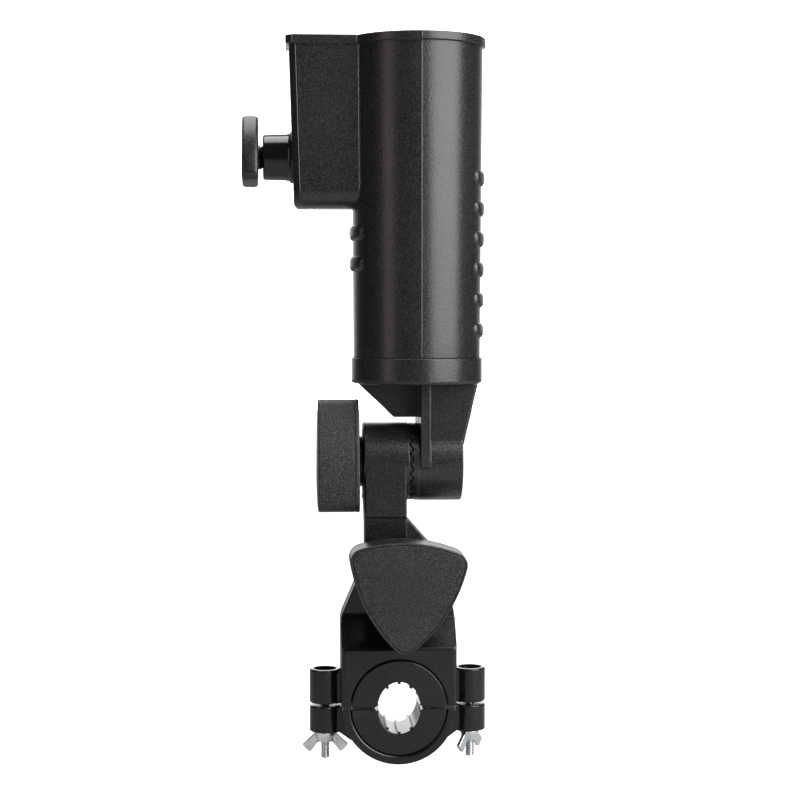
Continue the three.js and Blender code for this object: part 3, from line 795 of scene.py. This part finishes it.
def gusset_and_spine():
    """The thin gusset under the cup and the rib that crosses it beside the drum."""
    top = CUP_BOTTOM + 0.8
    gusset = prism("Y", rounded([
        (-18.4, top),
        (-1.9, GUSSET_BOTTOM, 1.0),
        (DRUM_LEFT + 2, GUSSET_BOTTOM),
        (DRUM_LEFT + 2, top),
    ]), -GUSSET_HALF, GUSSET_HALF)
    spine = prism("X", [
        (-SPINE_HALF, SPINE_BOTTOM),
        (SPINE_HALF, SPINE_BOTTOM),
        (SPINE_HALF + 0.4, top),
        (-SPINE_HALF - 0.4, top),
    ], DRUM_LEFT, SPINE_RIGHT)
    return gusset, spine


def tube_base():
    centre = (0, TILT_Z)
    drum = rod("X", DRUM_RADIUS, DRUM_LEFT, DRUM_RIGHT, centre, 128)
    body = soften(add(cup(), neck(), *gusset_and_spine(), drum), 0.5)
    collar = rod("X", COLLAR_RADIUS, DRUM_LEFT - 1.7, DRUM_LEFT + 1, centre, 128)
    teeth = tooth_ring("X", centre, DRUM_LEFT - 1, TILT_TEETH_X + TOOTH_GAP)
    body = add(body, collar, teeth, cup_seam(-1), cup_seam(1))
    return cut(
        body,
        rod("X", TOOTH_INNER, 0, DRUM_LEFT, centre),
        rod("X", M6_HOLE, 0, DRUM_RIGHT + 1, centre, 40),
        hex_recess("X", M6_FLATS, centre, DRUM_RIGHT - HEAD_RECESS, DRUM_RIGHT + 1),
    )


# ---------- arm ----------


def shank():
    """The upright between the two joints, creased above the swivel disc."""
    upright = prism("X", rounded([
        (-DRUM_RADIUS, TILT_Z),
        (-DRUM_RADIUS, SHANK_CREASE, 0.3),
        (-DRUM_RADIUS + 0.9, SHANK_CREASE - 0.7, 0.3),
        (DISC_FRONT, 72),
        (DISC_BACK, 72),
        (DISC_BACK, 80.8),
        (12, 96.3, 3),
        (DRUM_RADIUS, TILT_Z),
    ]), ARM_LEFT, ARM_RIGHT)
    return soften(upright, 0.8, 5)


def web():
    """The flat web that widens from the shank to the swivel disc."""
    right = SWIVEL_X + DRUM_RADIUS
    flat = prism("Y", rounded([
        (ARM_LEFT, SWIVEL_Z),
        (right, SWIVEL_Z),
        (right, 60.5, 4),
        (14.2, 71.4, 3),
        (ARM_RIGHT, WEB_TOP),
        (ARM_LEFT, WEB_TOP),
    ]), DISC_FRONT, DISC_BACK)
    return soften(flat, 0.9)


def arm():
    tilt, swivel = (0, TILT_Z), (SWIVEL_X, SWIVEL_Z)
    drum = rod("X", DRUM_RADIUS, ARM_LEFT, ARM_RIGHT + 1.3, tilt, 128)
    disc = rod("Y", DRUM_RADIUS, DISC_FRONT, DISC_BACK, swivel, 128)
    body = add(
        soften(add(drum, shank(), web(), disc), 0.4),
        rod("Y", COLLAR_RADIUS, DISC_BACK - 1, DISC_BACK + 0.4, swivel, 128),
        tooth_ring("X", tilt, ARM_RIGHT + 0.5, TILT_TEETH_X),
        tooth_ring("Y", swivel, DISC_BACK, SWIVEL_TEETH_Y),
    )
    return cut(
        body,
        rod("X", TOOTH_INNER, ARM_RIGHT + 0.5, ARM_RIGHT + 4, tilt),
        rod("Y", TOOTH_INNER, DISC_BACK, DISC_BACK + 4, swivel),
        rod("X", M6_HOLE, ARM_LEFT - 1, ARM_RIGHT + 1, tilt, 40),
        rod("Y", M6_HOLE, DISC_FRONT - 1, DISC_BACK + 1, swivel, 40),
    )


# ---------- knobs, drawn with the back at 0 and the crown along +Z ----------


def crowned_skin(shape, profile, dome):
    """Rings of a three-lobed knob from the middle of its face, over the edge and down its side."""
    face_inset, face_z = profile[0]
    edge = trilobe(**shape, inset=face_inset)
    rings = []
    for s in (0.02, 0.2, 0.4, 0.6, 0.75, 0.87, 0.95):
        z = face_z + dome * (1 - s ** 2)
        rings.append([(u * s, v * s, z) for u, v in edge])
    for inset, z in profile:
        rings.append([(u, v, z) for u, v in trilobe(**shape, inset=inset)])
    return rings


def knob():
    """A hollow three-lobed knob: grooved face, stepped side, three inner walls and a nut pocket."""
    depth = KNOB_DEPTH
    profile = [
        (1.9, depth - 0.12), (1.5, depth - 0.13), (1.38, depth - 0.2), (1.24, depth - 0.5),
        (0.98, depth - 0.5), (0.84, depth - 0.22), (0.7, depth - 0.14), (0.5, depth - 0.18),
        (0.3, depth - 0.34), (0.16, depth - 0.6), (0.1, depth - 1.0), (0.1, depth - 6),
        (0.1, 6.0), (0.1, 2.3), (0.1, 2.15), (0.32, 2.0), (0.32, 1.75), (0.02, 1.6), (0.0, 1.2),
        (0.0, 0.45), (0.12, 0.15), (0.4, 0.0), (KNOB_WALL - 0.4, 0.0), (KNOB_WALL - 0.1, 0.2),
        (KNOB_WALL, 0.6), (KNOB_WALL + 0.4, depth - KNOB_WALL - 0.8),
    ]
    rings = crowned_skin(KNOB, profile, 0.12)
    ceiling = depth - KNOB_WALL
    last = trilobe(**KNOB, inset=KNOB_WALL + 1.2)
    rings += [[(u * s, v * s, ceiling) for u, v in last] for s in (1, 0.6, 0.2)]
    shell = ring_object("knob", rings)
    hub = rod("Z", KNOB_HUB, 0, ceiling + 0.5)
    walls = []
    for angle in (90, 210, 330):
        c, s = math.cos(math.radians(angle)), math.sin(math.radians(angle))
        corners = [(7, -0.9), (KNOB["tip"] - 2, -0.9), (KNOB["tip"] - 2, 0.9), (7, 0.9)]
        outline = [(a * c - b * s, a * s + b * c) for a, b in corners]
        walls.append(prism("Z", outline, 4, ceiling + 0.5))
    return cut(
        add(shell, hub, *walls),
        rod("Z", M6_HOLE, -1, ceiling - 1, segments=40),
        hex_recess("Z", M6_FLATS, (0, 0), NUT_AT - PLAY, NUT_AT + M6_NUT + PLAY),
    )


def hex_head(flats, low, high, chamfer_low=False):
    """A hexagonal head or nut with its corners turned off."""
    corner = flats / math.sqrt(3) + 0.1
    flat = flats / 2 * 0.97
    drop = (corner - flat) * 0.5
    bottom = [(0, low), (corner, low)]
    if chamfer_low:
        bottom = [(0, low), (flat, low), (corner, low + drop)]
    top = [(corner, high - drop), (flat, high), (0, high)]
    return common(prism("Z", hexagon(flats), low, high), turned("Z", bottom + top))


def hex_bolt(flats, head, radius, pitch, length):
    """A hex bolt with its head below 0 and its thread along +Z."""
    body = hex_head(flats, -head, 0)
    body.data.transform(Matrix.Translation((0, 0, -head)) @ Matrix.Rotation(math.pi, 4, "X"))
    shank = thread(radius, pitch * 0.6, pitch, -0.6, length)
    return add(body, shank)


def m6_nut():
    return cut(hex_head(M6_FLATS, 0, M6_NUT, True), rod("Z", M6_HOLE, -1, M6_NUT + 1, segments=40))


def washer():
    return turned("Z", rounded([
        (M6_HOLE, 0, 0.25),
        (WASHER_RADIUS, 0, 0.4),
        (WASHER_RADIUS, WASHER_THICK, 0.4),
        (M6_HOLE, WASHER_THICK, 0.25),
    ]))


# ---------- thumb screw and pad, drawn with the shank along +Z from 0 ----------


def thumb_screw():
    """A three-lobed plate with round edges, and its coarse thread."""
    edge = [(1.5, 0.0), (1.05, 0.05), (0.6, 0.3), (0.25, 0.8), (0.1, 1.4)]
    profile = [(inset, depth - PLATE_DEPTH) for inset, depth in edge]
    profile.append((0.0, -PLATE_DEPTH / 2))
    profile += [(inset, -depth) for inset, depth in reversed(edge)]
    rim = trilobe(**PLATE, inset=edge[0][0])
    rings = [[(u * s, v * s, -PLATE_DEPTH) for u, v in rim] for s in (0.1, 0.6)]
    rings += [[(u, v, z) for u, v in trilobe(**PLATE, inset=i)] for i, z in profile]
    rings += [[(u * s, v * s, 0) for u, v in rim] for s in (0.6, 0.1)]
    plate = ring_object("plate", rings)
    collar = turned("Z", [(0, -1), (SCREW_RADIUS, -1), (SCREW_RADIUS, 0.3), (4.6, 0.9), (0, 0.9)])
    end = SCREW_HIGH[0] - PLATE_RIGHT
    return add(plate, collar, thread(SCREW_RADIUS, 0.95, SCREW_PITCH, 0.2, end, segments=56, steps=14))


def clamp_pad():
    """The rubber pad on the screw's tip, with a grooved V face towards the tube."""
    low, high = box("rod_clamp_pad")
    block = prism("Z", rounded([
        (low[0], low[1], 0.8),
        (high[0], low[1], 0.8),
        (high[0] - 2, 0, 3),
        (high[0], high[1], 0.8),
        (low[0], high[1], 0.8),
    ]), low[2], high[2])
    face = high[0] + 1
    grooves = []
    for i in range(-3, 4):
        z = (low[2] + high[2]) / 2 + 2.9 * i
        grooves.append(prism("Y", [(face, z - 1.0), (face - 3.6, z), (face, z + 1.0)], -12, 12))
    socket = rod("X", SCREW_HOLE, low[0] - 1, low[0] + 2.5, (0, SCREW_Z), 48)
    return soften(cut(block, socket, *grooves), 0.2, 2)


# ---------- bar clamp ----------


def ear(side, low, high):
    """A round ear on the clamp's side, with a narrower neck to the body."""
    post = turned("Z", rounded([
        (0, low),
        (EAR_RADIUS, low, 0.7),
        (EAR_RADIUS, high, 0.7),
        (0, high),
    ]), (side * EAR_X, 0), 96)
    inner, outer = sorted((side * (SEAT_RADIUS + 0.6), side * EAR_X))
    half = EAR_NECK_HALF
    outline = [(inner, -half), (outer, -half), (outer, half), (inner, half)]
    return post, prism("Z", outline, low + 0.2, high - 0.9)


def bolt_holes():
    return [rod("Z", M4_HOLE, EAR_BOTTOM - 1, EAR_TOP + 1, (s * EAR_X, 0), 40) for s in (-1, 1)]


def bar_seat():
    """The clamp's bore, chamfered at both ends, as a tool to cut with."""
    end = HALF_DEPTH + 1
    chamfer_from = HALF_DEPTH - 0.7
    return turned("Y", [
        (0, -end),
        (SEAT_RADIUS + 1.7, -end),
        (SEAT_RADIUS, -chamfer_from),
        (SEAT_RADIUS, chamfer_from),
        (SEAT_RADIUS + 1.7, end),
        (0, end),
    ], segments=144)


def clamp_blank():
    """The upper half before its ears and bore: a deep foot that slopes back to the swivel plate."""
    w, d = HALF_WIDTH, HALF_DEPTH
    outline = rounded([
        (-w, SPLIT),
        (w, SPLIT),
        (w, 38, 12),
        (SWIVEL_X + PLATE_RADIUS - 0.2, SWIVEL_Z + 1),
        (SWIVEL_X - PLATE_RADIUS + 0.2, SWIVEL_Z + 1),
        (-w, 38, 12),
    ], 12)
    front = rounded([
        (-d, SPLIT),
        (d, SPLIT),
        (d, 50),
        (PLATE_FRONT, 50),
        (PLATE_FRONT, 38.6, 5),
        (-d, 26, 3),
    ], 6)
    block = common(prism("X", front, -w - 1, w + 1), prism("Y", outline, -d, d))
    plate = prism("Y", outline, PLATE_FRONT, d)
    crown = rod("Y", PLATE_RADIUS, PLATE_FRONT, d, (SWIVEL_X, SWIVEL_Z), 144)
    return common(add(block, plate, crown), prism("Z", rounded_box(-w, w, -d, d, 1.8), 0, 80))


def clamp_body():
    blank = add(clamp_blank(), *ear(-1, SPLIT, EAR_TOP), *ear(1, SPLIT, EAR_TOP))
    body = soften(cut(blank, bar_seat()), 0.5)
    centre = (SWIVEL_X, SWIVEL_Z)
    collar = rod("Y", COLLAR_RADIUS, PLATE_FRONT - 0.4, PLATE_FRONT + 1, centre, 128)
    teeth = tooth_ring("Y", centre, PLATE_FRONT, SWIVEL_TEETH_Y + TOOTH_GAP)
    tools = [
        rod("Y", TOOTH_INNER, -6, PLATE_FRONT, centre),
        rod("Y", M6_HOLE, -6, HALF_DEPTH + 1, centre, 40),
        hex_recess("Y", M6_FLATS, centre, HALF_DEPTH - HEAD_RECESS, HALF_DEPTH + 1),
        *bolt_holes(),
    ]
    for x in (-EAR_X, EAR_X):
        tools.append(hex_recess("Z", M4_FLATS, (x, 0), EAR_RECESS, EAR_TOP + 1))
        tools.append(rod("Z", EAR_COUNTERBORE, EAR_TOP - 1.6, EAR_TOP + 1, (x, 0)))
    return cut(add(body, collar, teeth), *tools)


def clamp_jaw():
    """The lower half: a half round that flares out to its ears."""
    split = math.degrees(math.asin(SPLIT / JAW_RADIUS))
    half = prism("Y", arc(0, 0, JAW_RADIUS, 180 + split, 360 - split, 90), -HALF_DEPTH, HALF_DEPTH)
    flares = []
    outline = [(18, -SPLIT - 0.2), (27.2, -SPLIT - 0.2), (27.2, -11.2), (21.2, -15.6), (18, -17)]
    for side in (-1, 1):
        flare = [(side * u, v) for u, v in outline]
        flares.append(prism("Y", flare, -EAR_NECK_HALF, EAR_NECK_HALF))
    body = add(half, *flares, *ear(-1, EAR_BOTTOM, -SPLIT), *ear(1, EAR_BOTTOM, -SPLIT))
    return cut(soften(cut(body, bar_seat()), 0.5), *bolt_holes())


def reducer_blank(side, radius, depth):
    split = math.degrees(math.asin(REDUCER_SPLIT / REDUCER_RADIUS))
    outline = arc(0, 0, radius, split, 180 - split, 90)
    return prism("Y", [(u, side * v) for u, v in outline], -depth, depth)


def reducer_rib(side, angle):
    """A rib across the oval bore, at an angle from its top."""
    u, v = arc(0, 0, 1, 90 + angle, 0, 1)[0]
    reach = 1 / math.hypot(u / BORE[0], v / BORE[1])
    bar = [(reach + 2, 1.0), (reach + 2, -1.0), (reach - 1, -0.55), (reach - 1, 0.55)]
    outline = [(r * u - s * v, side * (r * v + s * u)) for r, s in bar]
    return prism("Y", outline, -HALF_DEPTH + 0.4, HALF_DEPTH - 0.4)


def reducer(side):
    """One half of the bar reducer; side is 1 for the upper half and -1 for the lower."""
    through = HALF_DEPTH + 1
    opening = [(BORE[0] * u, BORE[1] * v) for u, v in arc(0, 0, 1, 0, 357, 119)]
    tools = [prism("Y", opening, -through, through)]
    for u in (-BORE[0], BORE[0]):
        diamond = [(u - 1.3, 0), (u, -1.3), (u + 1.3, 0), (u, 1.3)]
        tools.append(prism("Y", diamond, -through, through))
    half = soften(cut(reducer_blank(side, REDUCER_RADIUS, HALF_DEPTH), *tools), 0.5)
    locator = cut(reducer_blank(side, SEAT_RADIUS - 0.05, 1), rod("Y", REDUCER_RADIUS - 1, -2, 2))
    return add(add(half, locator), *[reducer_rib(side, angle) for angle in (-30, 0, 30)])


def wing_nut():
    """A wing nut with its seat at 0 and its wings swept down along -Z."""
    hub = turned("Z", rounded([
        (0, 0),
        (4.3, 0, 0.4),
        (4.1, -1.6, 0.5),
        (3.5, -4.4, 0.6),
        (0, -4.4),
    ]))
    wing = rounded([
        (2.2, -0.5),
        (4.6, -0.5, 1.2),
        (10.3, -5.8, 0.8),
        (6.8, -9.3, 0.9),
        (3.6, -5.2, 1.4),
        (2.2, -4.1),
    ])
    wings = [prism("Y", [(side * u, v) for u, v in wing], -0.85, 0.85) for side in (-1, 1)]
    return cut(soften(add(hub, *wings), 0.35), rod("Z", M4_HOLE, -6, 1, segments=40))


# ---------- assembly ----------


def facing(origin, forward, turn=0):
    """A place at origin whose +Z points along forward and whose +Y points up, then turned."""
    z = Vector(forward)
    y = Vector((0, 0, 1))
    x = y.cross(z)
    basis = Matrix((x, y, z)).transposed().to_4x4()
    return Matrix.Translation(origin) @ basis @ Matrix.Rotation(math.radians(turn), 4, "Z")


finish_piece("tube", holder_tube(), "holder", ["holder_tube"], TUBE_PLASTIC)
finish_piece("tube_screw_boss", screw_boss(), "holder", ["holder_tube"], BOSS_PLASTIC)
finish_piece("tube_cup_and_neck", tube_base(), "holder", ["tube_base"], TUBE_PLASTIC)
finish_piece("joint_arm", arm(), "arm", ["arm"], ARM_PLASTIC)

finish_piece(
    "thumb_screw_moulding", thumb_screw(), "thumb_screw", ["thumb_screw"],
    ARM_PLASTIC, facing((PLATE_RIGHT, 0, SCREW_Z), (1, 0, 0)),
)
finish_piece("pressure_pad", clamp_pad(), "clamp_pad", ["rod_clamp_pad"], PAD_RUBBER)


def joint_hardware(name, holder, axis, centre, head_at, knob_at, turn):
    """Bolt, washer, knob and nut on one axis. Distances run along the axis from centre."""

    def at(distance, spin=0):
        place = Vector(centre) + Vector(axis) * distance
        return facing(place, axis, spin)

    bolt = hex_bolt(M6_FLATS, M6_HEAD, M6_RADIUS, M6_PITCH, knob_at - head_at + 13)
    finish_piece(f"{name}_hex_bolt", bolt, holder, [f"{name}_bolt"], ZINC, at(head_at))
    finish_piece(
        f"{name}_plain_washer", washer(), f"{name}_washer", [f"{name}_washer"],
        WASHER_PLASTIC, at(knob_at - WASHER_THICK - PLAY),
    )
    finish_piece(
        f"{name}_hand_knob", knob(), f"{name}_knob", [f"{name}_knob"],
        KNOB_PLASTIC, at(knob_at, turn),
    )
    finish_piece(
        f"{name}_hex_nut", m6_nut(), f"{name}_knob", [f"{name}_nut"],
        ZINC, at(knob_at + NUT_AT, turn),
    )


HEAD_SEAT = HEAD_RECESS - PLAY
TILT_KNOB_AT = -box("tilt_knob")[1][0]
SWIVEL_KNOB_AT = -box("swivel_knob")[1][1]
joint_hardware(
    "tilt", "holder", (-1, 0, 0), (0, 0, TILT_Z),
    HEAD_SEAT - DRUM_RIGHT, TILT_KNOB_AT, KNOB_TILT_TURN,
)
joint_hardware(
    "swivel", "clamp_body", (0, -1, 0), (SWIVEL_X, 0, SWIVEL_Z),
    HEAD_SEAT - HALF_DEPTH, SWIVEL_KNOB_AT, KNOB_SWIVEL_TURN,
)

for name, shape, body, cad in (
    ("bar_clamp_body", clamp_body(), "clamp_body", "clamp_body"),
    ("bar_clamp_jaw", clamp_jaw(), "jaw", "clamp_jaw"),
    ("bar_reducer_upper", reducer(1), "clamp_body", "reducer_upper"),
    ("bar_reducer_lower", reducer(-1), "jaw", "reducer_lower"),
):
    finish_piece(name, shape, body, [cad], CLAMP_PLASTIC)


def ear_hardware(side, x):
    """A bolt down through one pair of ears, and the wing nut under them."""
    seat = EAR_RECESS + PLAY
    end = box(f"clamp_bolt_{side}")[0][2]
    bolt = hex_bolt(M4_FLATS, M4_HEAD, M4_RADIUS, M4_PITCH, seat - end)
    down = Matrix.Translation((x, 0, seat)) @ Matrix.Rotation(math.pi, 4, "X")
    finish_piece(f"ear_bolt_{side}", bolt, "clamp_body", [f"clamp_bolt_{side}"], ZINC, down)
    turn = Matrix.Rotation(math.radians(WING_TURNS[side]), 4, "Z")
    finish_piece(
        f"winged_nut_{side}", wing_nut(), f"wing_nut_{side}", [f"wing_nut_{side}"],
        ZINC, Matrix.Translation((x, 0, EAR_BOTTOM - PLAY)) @ turn,
    )


ear_hardware("left", -EAR_X)
ear_hardware("right", EAR_X)

# ---------- stage, in metres ----------

CAMERA_AWAY = 0.836
CAMERA_AZIMUTH = -3.5
CAMERA_HEIGHT = 0.1758
AIM = Vector((0.0011, 0, 0.1341))
VIEW_WIDTH = 0.352
FLOOR_Z = -0.036
FLOOR_HALF = 3.0


def aim(thing, target):
    """Turns a camera or lamp to look at a point."""
    direction = Vector(target) - thing.location
    thing.rotation_euler = direction.to_track_quat("-Z", "Y").to_euler()


def camera():
    lens = bpy.data.cameras.new("camera")
    eye = bpy.data.objects.new("camera", lens)
    bpy.context.scene.collection.objects.link(eye)
    angle = math.radians(CAMERA_AZIMUTH)
    eye.location = (CAMERA_AWAY * math.sin(angle), -CAMERA_AWAY * math.cos(angle), CAMERA_HEIGHT)
    aim(eye, AIM)
    lens.angle = 2 * math.atan(VIEW_WIDTH / 2 / (AIM - eye.location).length)
    bpy.context.scene.camera = eye


def area_light(name, place, target, width, height, watts, colour=(1, 1, 1)):
    lamp = bpy.data.lights.new(name, "AREA")
    lamp.shape = "RECTANGLE"
    lamp.size = width
    lamp.size_y = height
    lamp.energy = watts
    lamp.color = colour
    thing = bpy.data.objects.new(name, lamp)
    bpy.context.scene.collection.objects.link(thing)
    thing.location = place
    aim(thing, target)


def sky():
    """Plain white to the camera, and dim to the object except for a soft glow towards +Y."""
    world = bpy.data.worlds.new("studio")
    bpy.context.scene.world = world
    world.use_nodes = True
    tree = world.node_tree
    background = tree.nodes["Background"]
    direction = node(tree, "ShaderNodeTexCoord").outputs["Generated"]
    along = node(tree, "ShaderNodeSeparateXYZ", {"Vector": direction}).outputs["Y"]
    toward = spread(tree, along, 0, 1, -0.2, 1.0)
    glow = node(tree, "ShaderNodeMath", {0: toward, 1: 12.0}, operation="POWER").outputs[0]
    light = spread(tree, glow, 0.04, 3.4, 0, 1)
    seen = node(tree, "ShaderNodeLightPath").outputs["Is Camera Ray"]
    tone = node(tree, "ShaderNodeMath", {0: light, 1: seen}, operation="MAXIMUM")
    tree.links.new(tone.outputs[0], background.inputs["Strength"])
    background.inputs["Color"].default_value = (1, 1, 1, 1)


def pale_floor():
    """A wide pale floor that looks white and bounces a little light."""
    half = FLOOR_HALF
    corners = [(x, y, FLOOR_Z) for x, y in ((-half, -half), (half, -half), (half, half), (-half, half))]
    mesh = bpy.data.meshes.new("floor")
    mesh.from_pydata(corners, [], [(0, 1, 2, 3)])
    floor = bpy.data.objects.new("floor", mesh)
    bpy.context.scene.collection.objects.link(floor)
    pale, tree, surface, _ = shader("pale_floor", Roughness=0.9)
    surface.inputs["Base Color"].default_value = (0.35, 0.35, 0.35, 1)
    surface.inputs["Emission Color"].default_value = (1, 1, 1, 1)
    seen = node(tree, "ShaderNodeLightPath").outputs["Is Camera Ray"]
    tree.links.new(seen, surface.inputs["Emission Strength"])
    mesh.materials.append(pale)


camera()
sky()
pale_floor()
area_light("key", (0.58, -0.54, 0.52), (0, 0, 0.18), 0.88, 1.0, 17.3, (0.97, 0.98, 1.0))
area_light("fill", (-0.75, -0.55, 0.35), (0, 0, 0.15), 0.3, 0.8, 1.0, (1.0, 0.9, 0.87))
area_light("top", (0.0, 0.15, 1.0), (0, 0, 0.1), 0.9, 0.7, 12)
bpy.context.scene.view_settings.view_transform = "Standard"
